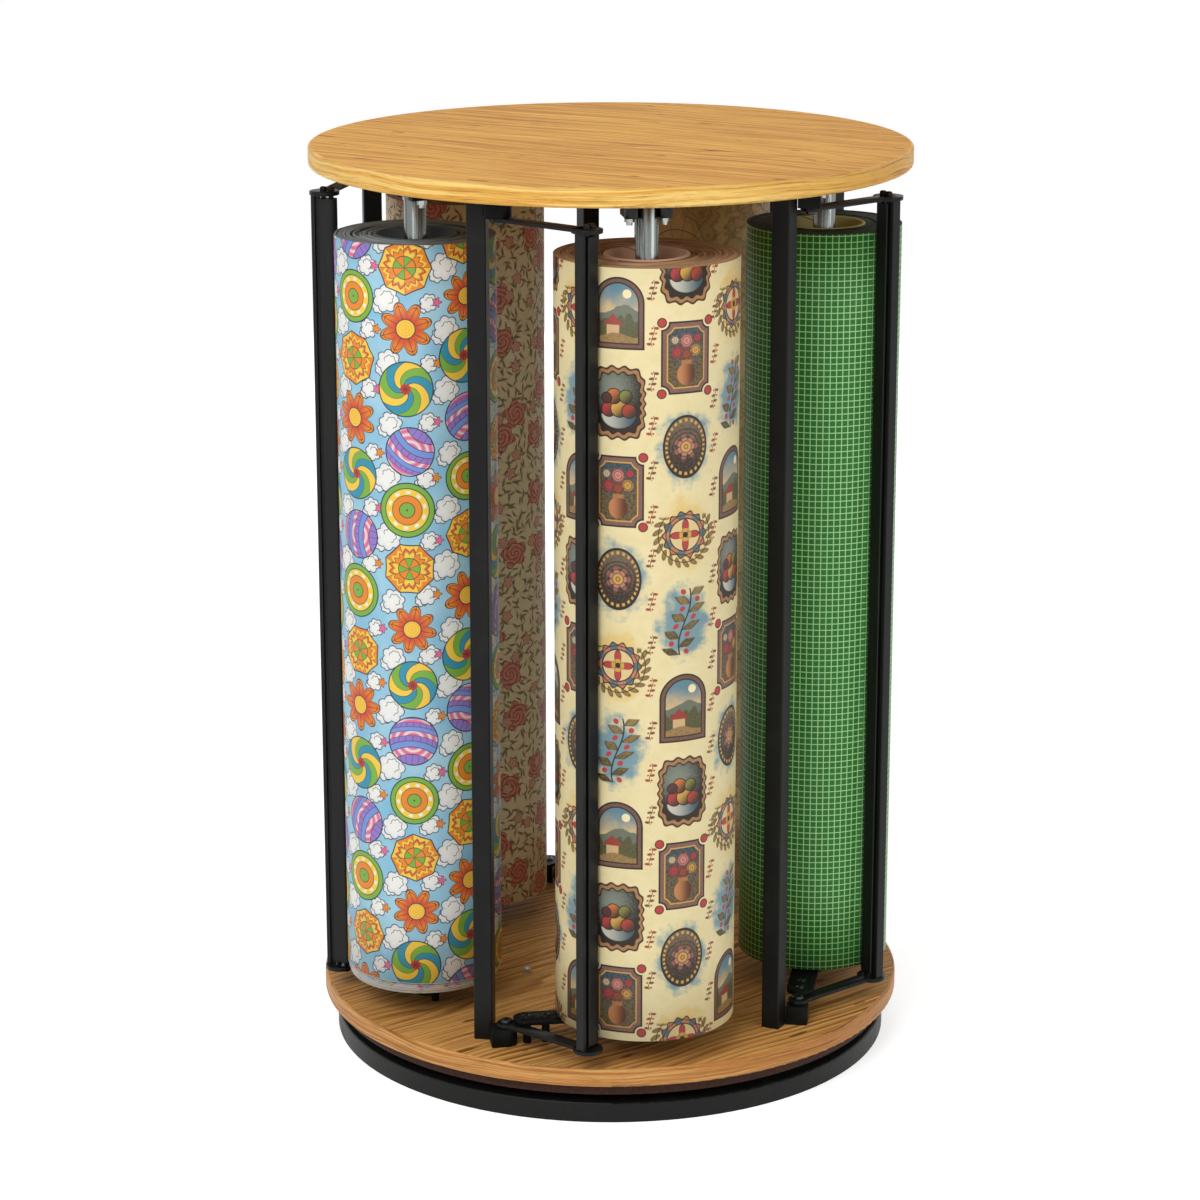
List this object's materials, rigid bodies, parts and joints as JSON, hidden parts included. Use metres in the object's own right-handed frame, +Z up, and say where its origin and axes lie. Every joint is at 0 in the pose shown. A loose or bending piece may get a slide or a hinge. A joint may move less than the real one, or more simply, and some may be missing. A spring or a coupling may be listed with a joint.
{
  "type": "revolving paper roll rack",
  "caption": "Round free-standing carousel between two oak boards, holding upright rolls of wrapping paper on rods, each with a spring-loaded swinging cutter bar.",
  "frame": {"origin": "centre of the base disc's underside, on the floor", "axes": "+Z up along the carousel's axis, -Y towards the front of the picture's view"},
  "size_m": [0.61, 0.6214, 0.941],
  "materials": {
    "black_base": "black painted board, satin",
    "zinc_steel": "zinc plated pressed steel",
    "ball_steel": "polished bearing steel",
    "brown_board": "dark brown painted board edge",
    "oak_laminate": "oak grain laminate on particle board, satin",
    "oak_edge": "oiled solid oak edge band",
    "bright_steel": "bright drawn steel",
    "black_paint": "black powder coat, satin",
    "black_bar": "black anodised extrusion",
    "black_plastic": "moulded black plastic",
    "card": "spiral wound grey and brown board",
    "paper_cream": "cream gift wrap with framed ornaments",
    "paper_green": "green gift wrap with a pale grid",
    "paper_tan": "tan gift wrap with fine brown lines",
    "paper_floral": "beige gift wrap with roses",
    "paper_blue": "sky blue gift wrap with bright discs"
  },
  "bodies": {
    "base": {"base_disc": "black_base", "bearing_lower_plate": "zinc_steel", "bearing_balls": "ball_steel", "bearing_base_screws": "zinc_steel"},
    "carousel": {"bearing_upper_plate": "zinc_steel", "swivel_plate": "brown_board", "swivel_bolts": "zinc_steel", "bottom_board": "oak_laminate", "bottom_edge_band": "oak_edge", "top_board": "oak_laminate", "top_edge_band": "oak_edge", "rods": "bright_steel", "lower_brackets": "black_paint", "bracket_spacers": "black_paint", "bracket_screws": "black_paint", "rod_yokes": "black_paint", "yoke_bolts": "zinc_steel", "pivot_blocks": "black_paint", "pivot_pins": "black_paint", "post_1": "black_paint", "post_2": "black_paint", "post_3": "black_paint", "post_4": "black_paint", "post_5": "black_paint"},
    "roll_1": {"paper_roll_1": "paper_cream", "roll_core_1": "card", "core_bushes_1": "black_plastic"},
    "cutter_1": {"lower_arm_1": "black_paint", "upper_arm_1": "black_paint", "cutter_bar_1": "black_bar", "tear_strip_1": "black_bar"},
    "roll_2": {"paper_roll_2": "paper_green", "roll_core_2": "card", "core_bushes_2": "black_plastic"},
    "cutter_2": {"lower_arm_2": "black_paint", "upper_arm_2": "black_paint", "cutter_bar_2": "black_bar", "tear_strip_2": "black_bar"},
    "roll_3": {"paper_roll_3": "paper_tan", "roll_core_3": "card", "core_bushes_3": "black_plastic"},
    "cutter_3": {"lower_arm_3": "black_paint", "upper_arm_3": "black_paint", "cutter_bar_3": "black_bar", "tear_strip_3": "black_bar"},
    "roll_4": {"paper_roll_4": "paper_floral", "roll_core_4": "card", "core_bushes_4": "black_plastic"},
    "cutter_4": {"lower_arm_4": "black_paint", "upper_arm_4": "black_paint", "cutter_bar_4": "black_bar", "tear_strip_4": "black_bar"},
    "roll_5": {"paper_roll_5": "paper_blue", "roll_core_5": "card", "core_bushes_5": "black_plastic"},
    "cutter_5": {"lower_arm_5": "black_paint", "upper_arm_5": "black_paint", "cutter_bar_5": "black_bar", "tear_strip_5": "black_bar"}
  },
  "joints": [
    {"name": "carousel_spin", "type": "hinge", "parent": "base", "child": "carousel", "pos_m": [0, 0, 0.02575], "axis": [0, 0, 1], "continuous": true},
    {"name": "roll_1_spin", "type": "hinge", "parent": "carousel", "child": "roll_1", "pos_m": [0.03395, -0.21433, 0.492], "axis": [0, 0, 1], "continuous": true},
    {"name": "cutter_1_swing", "type": "hinge", "parent": "carousel", "child": "cutter_1", "pos_m": [-0.10532, -0.23639, 0.492], "axis": [0, 0, -1], "range_deg": [0, 40], "stiffness_Nm_per_rad": 1.2, "springref_deg": -28.65},
    {"name": "roll_2_spin", "type": "hinge", "parent": "carousel", "child": "roll_2", "pos_m": [0.21433, -0.03395, 0.492], "axis": [0, 0, 1], "continuous": true},
    {"name": "cutter_2_swing", "type": "hinge", "parent": "carousel", "child": "cutter_2", "pos_m": [0.19227, -0.17321, 0.492], "axis": [0, 0, -1], "range_deg": [0, 40], "stiffness_Nm_per_rad": 1.2, "springref_deg": -28.65},
    {"name": "roll_3_spin", "type": "hinge", "parent": "carousel", "child": "roll_3", "pos_m": [0.09852, 0.19335, 0.492], "axis": [0, 0, 1], "continuous": true},
    {"name": "cutter_3_swing", "type": "hinge", "parent": "carousel", "child": "cutter_3", "pos_m": [0.22415, 0.12934, 0.492], "axis": [0, 0, -1], "range_deg": [0, 40], "stiffness_Nm_per_rad": 1.2, "springref_deg": -28.65},
    {"name": "roll_4_spin", "type": "hinge", "parent": "carousel", "child": "roll_4", "pos_m": [-0.15344, 0.15344, 0.492], "axis": [0, 0, 1], "continuous": true},
    {"name": "cutter_4_swing", "type": "hinge", "parent": "carousel", "child": "cutter_4", "pos_m": [-0.05374, 0.25314, 0.492], "axis": [0, 0, -1], "range_deg": [0, 40], "stiffness_Nm_per_rad": 1.2, "springref_deg": -28.65},
    {"name": "roll_5_spin", "type": "hinge", "parent": "carousel", "child": "roll_5", "pos_m": [-0.19335, -0.09852, 0.492], "axis": [0, 0, 1], "continuous": true},
    {"name": "cutter_5_swing", "type": "hinge", "parent": "carousel", "child": "cutter_5", "pos_m": [-0.25736, 0.02712, 0.492], "axis": [0, 0, -1], "range_deg": [0, 40], "stiffness_Nm_per_rad": 1.2, "springref_deg": -28.65}
  ]
}
